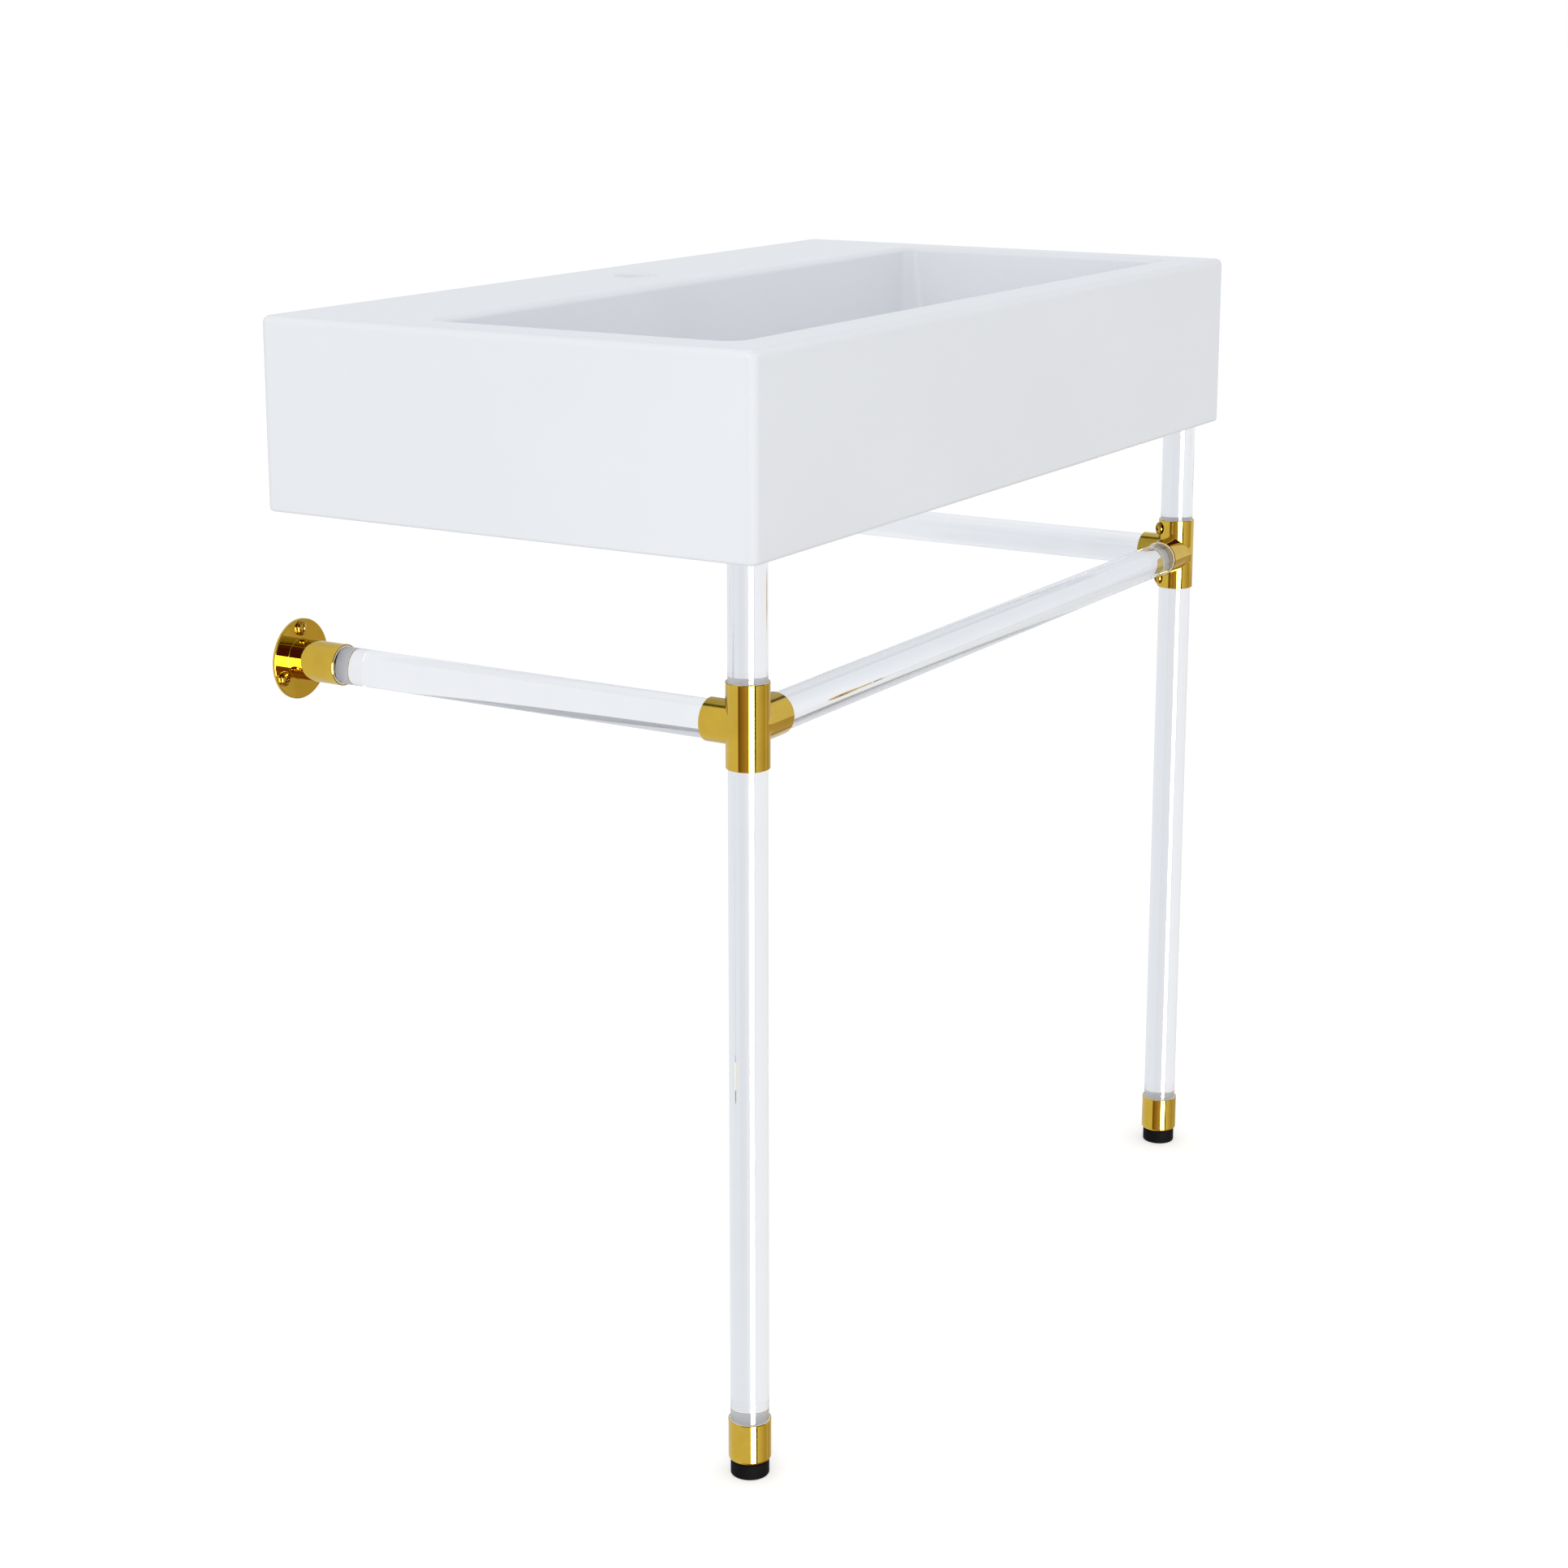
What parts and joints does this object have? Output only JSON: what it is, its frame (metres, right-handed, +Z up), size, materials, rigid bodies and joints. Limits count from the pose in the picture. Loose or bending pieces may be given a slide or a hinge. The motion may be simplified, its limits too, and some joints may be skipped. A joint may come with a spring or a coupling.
{
  "type": "console washbasin",
  "caption": "Wall-hung rectangular ceramic console basin on clear rod legs, with brass corner fittings, clear towel rails, wall flanges and levelling feet.",
  "frame": {"origin": "on the wall's face, midway between the basin's two wall bolts, 90 mm under its top", "axes": "+X along the wall to the right of someone who faces it, +Y into the wall, +Z up"},
  "size_m": [0.85, 0.45, 0.877],
  "materials": {
    "glazed_ceramic": "white glaze, high gloss",
    "clear_acrylic": "clear solid cast rod, polished",
    "polished_brass": "polished and lacquered, mirror gloss",
    "brass_screws": "polished",
    "grey_nylon": "moulded, satin",
    "grey_rubber": "moulded, matte",
    "black_rubber": "moulded, satin",
    "zinc_steel": "zinc plated"
  },
  "bodies": {
    "root": {"basin": "glazed_ceramic", "rail_rod_front": "clear_acrylic", "leg_top_cap_left": "grey_rubber", "leg_rod_upper_left": "clear_acrylic", "leg_rod_lower_left": "clear_acrylic", "rail_rod_left": "clear_acrylic", "corner_fitting_left": "polished_brass", "wall_flange_left": "polished_brass", "flange_screws_left": "brass_screws", "fitting_screws_left": "brass_screws", "foot_ferrule_left": "polished_brass", "bush_top_left": "grey_nylon", "bush_bottom_left": "grey_nylon", "bush_front_left": "grey_nylon", "bush_side_left": "grey_nylon", "bush_flange_left": "grey_nylon", "bush_ferrule_left": "grey_nylon", "leg_top_cap_right": "grey_rubber", "leg_rod_upper_right": "clear_acrylic", "leg_rod_lower_right": "clear_acrylic", "rail_rod_right": "clear_acrylic", "corner_fitting_right": "polished_brass", "wall_flange_right": "polished_brass", "flange_screws_right": "brass_screws", "fitting_screws_right": "brass_screws", "foot_ferrule_right": "polished_brass", "bush_top_right": "grey_nylon", "bush_bottom_right": "grey_nylon", "bush_front_right": "grey_nylon", "bush_side_right": "grey_nylon", "bush_flange_right": "grey_nylon", "bush_ferrule_right": "grey_nylon"},
    "foot_left": {"foot_pad_left": "black_rubber"},
    "stud_left": {"foot_stud_left": "zinc_steel"},
    "foot_right": {"foot_pad_right": "black_rubber"},
    "stud_right": {"foot_stud_right": "zinc_steel"}
  },
  "joints": [
    {"name": "foot_height_left", "type": "slide", "parent": "root", "child": "foot_left", "axis": [0, 0, -1], "range_m": [0, 0.012]},
    {"name": "stud_turn_left", "type": "hinge", "parent": "foot_left", "child": "stud_left", "pos_m": [-0.3915, -0.4235, -0.784], "axis": [0, 0, -1], "range_deg": [0, 3456]},
    {"name": "foot_height_right", "type": "slide", "parent": "root", "child": "foot_right", "axis": [0, 0, -1], "range_m": [0, 0.012]},
    {"name": "stud_turn_right", "type": "hinge", "parent": "foot_right", "child": "stud_right", "pos_m": [0.3915, -0.4235, -0.784], "axis": [0, 0, -1], "range_deg": [0, 3456]}
  ],
  "couplings": [
    {"joint": "stud_turn_left", "follows": "foot_height_left", "rad_per_m": 5026.5},
    {"joint": "stud_turn_right", "follows": "foot_height_right", "rad_per_m": 5026.5}
  ]
}
